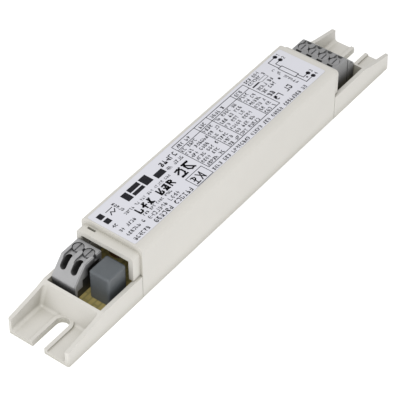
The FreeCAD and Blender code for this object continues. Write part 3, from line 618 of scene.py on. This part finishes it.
# %% [markdown]
# ### Marks in place of text
# A mark of small text is one stem and one or two arms, on a grid that is 1 wide and 2
# high. Straight, slanted and bowed strokes are picked at random, with a fixed seed, so a
# row has the rhythm of print and says nothing. Only the four plain numbers beside the
# wiring diagram are real, with strokes of their own.


# %% Strokes
def bow(centre, radii, first, last, steps=6):
    """Points at the centre plus the two radii times the cosine and sine of angles that
    run evenly from first to last, in degrees."""
    turn = np.radians(np.linspace(first, last, steps))
    return np.asarray(centre) + np.asarray(radii) * np.column_stack([np.cos(turn), np.sin(turn)])


STEMS = [[(0, 0), (0, 2)], [(1, 0), (1, 2)], [(0.5, 0), (0.5, 2)],
         bow((0.6, 1), (0.6, 1.0), 60, 300), bow((0.4, 1), (0.6, 1.0), -120, 120)]
ARMS = [
    [(0, 2), (1, 2)], [(0, 1), (1, 1)], [(0, 0), (1, 0)], [(0, 0), (1, 2)], [(0, 2), (1, 0)],
    [(0, 1), (1, 2)], [(0, 1), (1, 0)], bow((0.2, 1.5), (0.8, 0.5), -90, 90),
    bow((0.2, 0.5), (0.8, 0.5), -90, 90), bow((0.5, 0.5), (0.5, 0.5), 150, 390),
]
NUMBERS = {
    1: [[(0.5, 0), (0.5, 2)], [(0.1, 1.5), (0.5, 2)]],
    2: [bow((0.5, 1.5), (0.5, 0.5), 160, -30), [(0.95, 1.25), (0, 0)], [(0, 0), (1, 0)]],
    3: [bow((0.4, 1.5), (0.6, 0.5), 130, -80), bow((0.4, 0.5), (0.6, 0.5), 80, -130)],
    4: [[(0.7, 0), (0.7, 2)], [(0.7, 2), (0, 0.7)], [(0, 0.7), (1, 0.7)]],
}
MOST_ARMS = 2


def mark(x, y, height, width, weight, strokes, upright=False):
    """Grid places times width and half the height, moved to x and y. An upright mark is
    turned left by a quarter turn, which swaps the two and changes a sign."""
    for points in strokes:
        right, up = (np.asarray(points, float) * (width, height / 2)).T
        placed = (x - up, y + right) if upright else (x + right, y + up)
        ink.line(np.column_stack(placed), weight)


def random_strokes():
    """One stem and one or two arms."""
    arms = random.permutation(len(ARMS))[:random.integers(1, MOST_ARMS + 1)]
    return [STEMS[random.integers(len(STEMS))]] + [ARMS[n] for n in arms]


print(len(STEMS), "stems and", len(ARMS), "arms")

# %% [markdown]
# A row sets marks side by side until its length is full. After a random number of marks it
# leaves one out, as between words.

# %% Rows
MARK_GAP = 0.22


def text_row(x, y, length, height, weight=0.22, ratio=0.55, words=(2, 7), upright=False):
    """Marks of width height times ratio, at steps of that width plus the weight plus
    MARK_GAP times the height. The two numbers in words bound the marks in a word."""
    width = height * ratio
    step = width + weight + height * MARK_GAP
    travelled = 0.0
    left_in_word = random.integers(*words)
    while travelled + width <= length:
        if left_in_word == 0:
            left_in_word = random.integers(*words)
        else:
            at = (x, y + travelled) if upright else (x + travelled, y)
            mark(*at, height, width, weight, random_strokes(), upright)
            left_in_word -= 1
        travelled += step


def text_rows(*rows):
    """Rows given as x, y, length, height and weight."""
    for row in rows:
        text_row(*row)


print("rows ready, shapes in ink so far:", len(ink.patches))

# %% [markdown]
# ### Left part of the label
# Two solid squares stand over short rows. Beside them are a block of bars, a bold title
# with its smaller rows, a framed mark and one large mark. Places were read from the
# photograph, in millimetres from the middle of the part.

# %% Left part: squares, bars and rows
SQUARES = ((-57.8, -55.2, 6.8, 9.4), (-57.8, -55.2, 3.5, 6.0), (-53.7, -49.9, 7.9, 8.25))
TITLE_BARS = ((-44.0, -41.0, 4.9, 9.2), (-40.2, -34.2, 7.2, 9.4), (-40.2, -34.2, 4.9, 6.6),
              (-33.4, -29.4, 4.9, 9.4), (-27.9, -23.0, 3.8, 6.6))
WAVE_SIGN = ((-53.2, 5.6), (-52.2, 6.9), (-51.2, 5.7), (-50.0, 6.9))
WAVE_SIGN_WIDTH = 0.42

for bar in SQUARES + TITLE_BARS:
    ink.bar(*bar)
ink.line(WAVE_SIGN, WAVE_SIGN_WIDTH)
text_row(-48.0, 3.8, 5.6, 1.2, upright=True)
text_rows((-57.8, 0.5, 3.2, 1.3, 0.26), (-57.8, -2.8, 8.4, 1.3, 0.26),
          (-57.8, -6.0, 9.8, 1.3, 0.26), (-57.8, -9.6, 8.0, 1.5, 0.26))
print("shapes in ink so far:", len(ink.patches))

# %% Left part: title and large marks
text_rows((-22.0, 6.6, 9.0, 2.0, 0.4), (-22.0, 3.6, 9.0, 1.4, 0.26),
          (-50.0, 1.4, 28.0, 1.1, 0.17))
text_row(-46.2, -2.4, 23.0, 2.8, weight=0.73, ratio=0.62, words=(3, 4))
text_row(-46.2, -4.2, 17.0, 1.0, weight=0.2)
text_row(-46.2, -7.0, 18.0, 1.6, weight=0.26, words=(6, 10))
text_row(-46.2, -9.9, 23.5, 1.8, weight=0.32)
ink.box(-22.4, -13.0, -10.2, -4.5, 0.28)
text_row(-21.4, -9.3, 7.4, 3.6, weight=0.53)
text_row(-21.8, -2.8, 9.0, 4.2, weight=0.79, ratio=0.7, words=(2, 3))
print("shapes in ink so far:", len(ink.patches))

# %% [markdown]
# ### The table
# The table lists lamps on the real label. It has a frame, one line under the header and
# three dividers. Each column has a header and six rows, which end at random places, so the
# columns look filled with entries of different length.

# %% The table
TABLE_LEFT, TABLE_RIGHT = -11.6, 33.7
TABLE_TOP, TABLE_HEADER, TABLE_BOTTOM = 10.4, 7.3, -7.2
TABLE_DIVIDERS = (2.2, 9.8, 25.4)
TABLE_ROWS = 6
TABLE_LINE = 0.3
HEADER_INDENT, HEADER_LIFT, HEADER_SHARE = 1.2, 0.8, 0.55
HEADER_HEIGHT, HEADER_WEIGHT = 1.4, 0.26
CELL_MARGIN, CELL_LIFT, CELL_HEIGHT, CELL_WEIGHT = 0.6, 0.5, 1.35, 0.25
SHORTEST_CELL = 0.75

ink.box(TABLE_LEFT, TABLE_RIGHT, TABLE_BOTTOM, TABLE_TOP, TABLE_LINE)
ink.line([(TABLE_LEFT, TABLE_HEADER), (TABLE_RIGHT, TABLE_HEADER)], TABLE_LINE)
for x in TABLE_DIVIDERS:
    ink.line([(x, TABLE_BOTTOM), (x, TABLE_TOP)], TABLE_LINE)

row_step = (TABLE_HEADER - TABLE_BOTTOM) / TABLE_ROWS
for left, right in zip((TABLE_LEFT,) + TABLE_DIVIDERS, TABLE_DIVIDERS + (TABLE_RIGHT,)):
    text_row(left + HEADER_INDENT, TABLE_HEADER + HEADER_LIFT, (right - left) * HEADER_SHARE,
             HEADER_HEIGHT, HEADER_WEIGHT)
    for row in range(TABLE_ROWS):
        y = TABLE_HEADER - row_step * (row + 1) + CELL_LIFT
        fill = random.uniform(SHORTEST_CELL, 1.0)
        text_row(left + CELL_MARGIN, y, (right - left - 2 * CELL_MARGIN) * fill, CELL_HEIGHT,
                 CELL_WEIGHT)
text_row(TABLE_LEFT, -10.0, 60.0, HEADER_HEIGHT, HEADER_WEIGHT, words=(3, 9))
print("shapes in ink so far:", len(ink.patches))

# %% [markdown]
# ### Right part and the wiring diagram
# More rows stand beside the table. The diagram says how the lamp is wired: a tube, drawn
# as a box, with a line from each of its four pins to a dot with the number of a terminal.

# %% Right part: rows
text_rows((34.9, 9.6, 9.0, 1.3, 0.26), (34.9, 7.6, 10.5, 1.3, 0.26),
          (34.9, 3.2, 10.0, 1.4, 0.29), (34.9, 0.9, 8.0, 1.4, 0.29),
          (34.9, -2.2, 6.0, 1.8, 0.37), (34.9, -5.6, 10.6, 2.2, 0.42))
text_row(48.6, -5.6, 12.6, 1.2, weight=0.21, upright=True)
ink.bar(34.7, 38.8, 5.9, 6.6)
ink.line([(38.8, 6.2), (40.0, 5.6)], 0.2)
ink.line([(40.0, 5.6), (44.0, 5.6), (44.0, 7.0), (39.6, 7.0)], 0.2)
ink.disc(45.5, 1.4, 0.6)
print("shapes in ink so far:", len(ink.patches))

# %% The wiring diagram
TUBE_LEFT, TUBE_RIGHT, TUBE_BOTTOM, TUBE_TOP = 50.0, 52.3, -3.0, 5.0
OUTER_X, INNER_X = TUBE_LEFT + 0.4, TUBE_RIGHT - 0.5
PIN_X, PIN_RADIUS = 55.0, 0.95
WIRES = {1: (OUTER_X, TUBE_TOP, 10.2), 2: (INNER_X, TUBE_TOP, 7.6),
         3: (INNER_X, TUBE_BOTTOM, -5.7), 4: (OUTER_X, TUBE_BOTTOM, -8.2)}
WIRE_WIDTH = 0.34
NUMBER_X, NUMBER_HEIGHT, NUMBER_WIDTH, NUMBER_WEIGHT = 56.5, 1.4, 0.75, 0.24

ink.box(TUBE_LEFT, TUBE_RIGHT, TUBE_BOTTOM, TUBE_TOP, WIRE_WIDTH)
for number, (x, tube_y, y) in WIRES.items():
    ink.line([(x, tube_y), (x, y), (PIN_X, y)], WIRE_WIDTH)
    ink.disc(PIN_X, y, PIN_RADIUS)
    mark(NUMBER_X, y - NUMBER_HEIGHT / 2, NUMBER_HEIGHT, NUMBER_WIDTH, NUMBER_WEIGHT,
         NUMBERS[number])
ink.disc(52.8, -6.8, 0.45)
print("shapes in ink so far:", len(ink.patches))

# %% [markdown]
# ### Ink
# Thermal print is matt and nearly black, and a little uneven. Colour drift at a fine scale
# thins it. A low specular level keeps it dark in bright light. The print then rides on the
# object's only body, so it moves with the label.


# %% Make the print
INK = (0.008, 0.008, 0.011)
THIN_INK = (0.035, 0.035, 0.042)


def ink_material():
    """Nearly black, drifting to a dark grey."""
    material, tree, surface = start_material("label_ink")
    surface.inputs["Roughness"].default_value = 0.6
    surface.inputs["Specular IOR Level"].default_value = 0.12
    tone = use_group(tree, drift_group, Colour=rgba(INK), Second_colour=rgba(THIN_INK),
                     Patches_per_metre=2200.0, Share=DRIFT_SHARE)
    plug(tree, surface.inputs["Base Color"], tone.outputs["Colour"])
    return material


label_print = ink.mesh("label_print")
label_print.data.materials.append(ink_material())
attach(label_print, "root")
print("print has", len(label_print.data.polygons), "faces")

# %% [markdown]
# ## Floor
# The object is pictured on plain white with hardly a shadow, as on a light table. A white
# floor that glows a little does that. A shadow catcher would need render settings.
#
# The floor lies a hair under the case, so that the two never share a plane, and its back
# is see-through, so that the underside can be looked at as well.

# %% The floor
FLOOR_LEVEL = -0.02 * MM
FLOOR_SIZE = 6.0
FLOOR_GLOW = 0.27


def floor_material():
    """White seen from above, nothing seen from below."""
    material, tree, surface = start_material("floor_white")
    surface.inputs["Base Color"].default_value = (0.93, 0.93, 0.93, 1.0)
    surface.inputs["Roughness"].default_value = 0.9
    surface.inputs["Specular IOR Level"].default_value = 0.0
    surface.inputs["Emission Color"].default_value = (1.0, 1.0, 1.0, 1.0)
    surface.inputs["Emission Strength"].default_value = FLOOR_GLOW
    below = add(tree, "ShaderNodeNewGeometry").outputs["Backfacing"]
    clear = add(tree, "ShaderNodeBsdfTransparent").outputs["BSDF"]
    either = add(tree, "ShaderNodeMixShader")
    for socket, value in zip(either.inputs, (below, surface.outputs["BSDF"], clear)):
        plug(tree, socket, value)
    plug(tree, tree.nodes["Material Output"].inputs["Surface"], either.outputs["Shader"])
    return material


def studio_floor():
    """A square, half its size each way from the middle."""
    h, z = FLOOR_SIZE / 2, FLOOR_LEVEL
    data = bpy.data.meshes.new("floor")
    data.from_pydata([(-h, -h, z), (h, -h, z), (h, h, z), (-h, h, z)], [], [(0, 1, 2, 3)])
    data.materials.append(floor_material())
    floor = bpy.data.objects.new("floor", data)
    bpy.context.scene.collection.objects.link(floor)


studio_floor()
print("floor at", round(FLOOR_LEVEL / MM, 3), "mm,", FLOOR_SIZE, "m wide")

# %% [markdown]
# ## Light
# A bright even sky lights all sides alike. One large lamp from the upper left gives the
# faces their small differences of tone. More lamps would give several shadows, and the
# photograph has hardly one.

# %% Sky and lamp
SKY_STRENGTH = 0.60
LAMP_PLACE = Vector((-0.7, -0.35, 1.1))
LAMP_SIZE = 0.6
LAMP_POWER = 10.0


def soft_sky():
    """The same white from every direction."""
    world = bpy.data.worlds.new("sky")
    bpy.context.scene.world = world
    world.use_nodes = True
    background = world.node_tree.nodes["Background"]
    background.inputs["Color"].default_value = (1.0, 1.0, 1.0, 1.0)
    background.inputs["Strength"].default_value = SKY_STRENGTH


def key_lamp():
    """A round area light at LAMP_PLACE that looks at the origin."""
    light = bpy.data.lights.new("key", "AREA")
    light.shape = "DISK"
    light.size = LAMP_SIZE
    light.energy = LAMP_POWER
    lamp = bpy.data.objects.new("key", light)
    lamp.location = LAMP_PLACE
    lamp.rotation_euler = (-LAMP_PLACE).to_track_quat("-Z", "Y").to_euler()
    bpy.context.scene.collection.objects.link(lamp)


soft_sky()
key_lamp()
bpy.context.scene.view_settings.view_transform = "Standard"
print("sky", SKY_STRENGTH, "and lamp", LAMP_POWER, "W")

# %% [markdown]
# ## Camera
# The camera is placed by its direction and its distance from a point on the part, which is
# easier to adjust than three coordinates. Azimuth 0 looks along +Y, and it grows as the
# camera goes round toward +X. The lens is for the default sensor, 36 mm wide. A long lens
# far away keeps the long edges nearly parallel, as in the photograph.

# %% The camera
AIM = Vector((-13.6, -4.5, 8.0)) * MM
AZIMUTH = math.radians(-52.9)
ELEVATION = math.radians(44.0)
DISTANCE = 709.0 * MM
LENS = 169.0
FAR_LIMIT = 20.0


def place_camera():
    """AIM plus DISTANCE times (sine of azimuth times cosine of elevation, minus cosine of
    azimuth times cosine of elevation, sine of elevation), looking back at AIM."""
    back = Vector((math.sin(AZIMUTH) * math.cos(ELEVATION),
                   -math.cos(AZIMUTH) * math.cos(ELEVATION),
                   math.sin(ELEVATION)))
    data = bpy.data.cameras.new("camera")
    data.lens = LENS
    data.clip_end = FAR_LIMIT
    camera = bpy.data.objects.new("camera", data)
    camera.location = AIM + back * DISTANCE
    camera.rotation_euler = (-back).to_track_quat("-Z", "Y").to_euler()
    bpy.context.scene.collection.objects.link(camera)
    bpy.context.scene.camera = camera
    print("camera at", in_mm([camera.location]), "mm")


place_camera()

# %% [markdown]
# ## End


print("scene built")
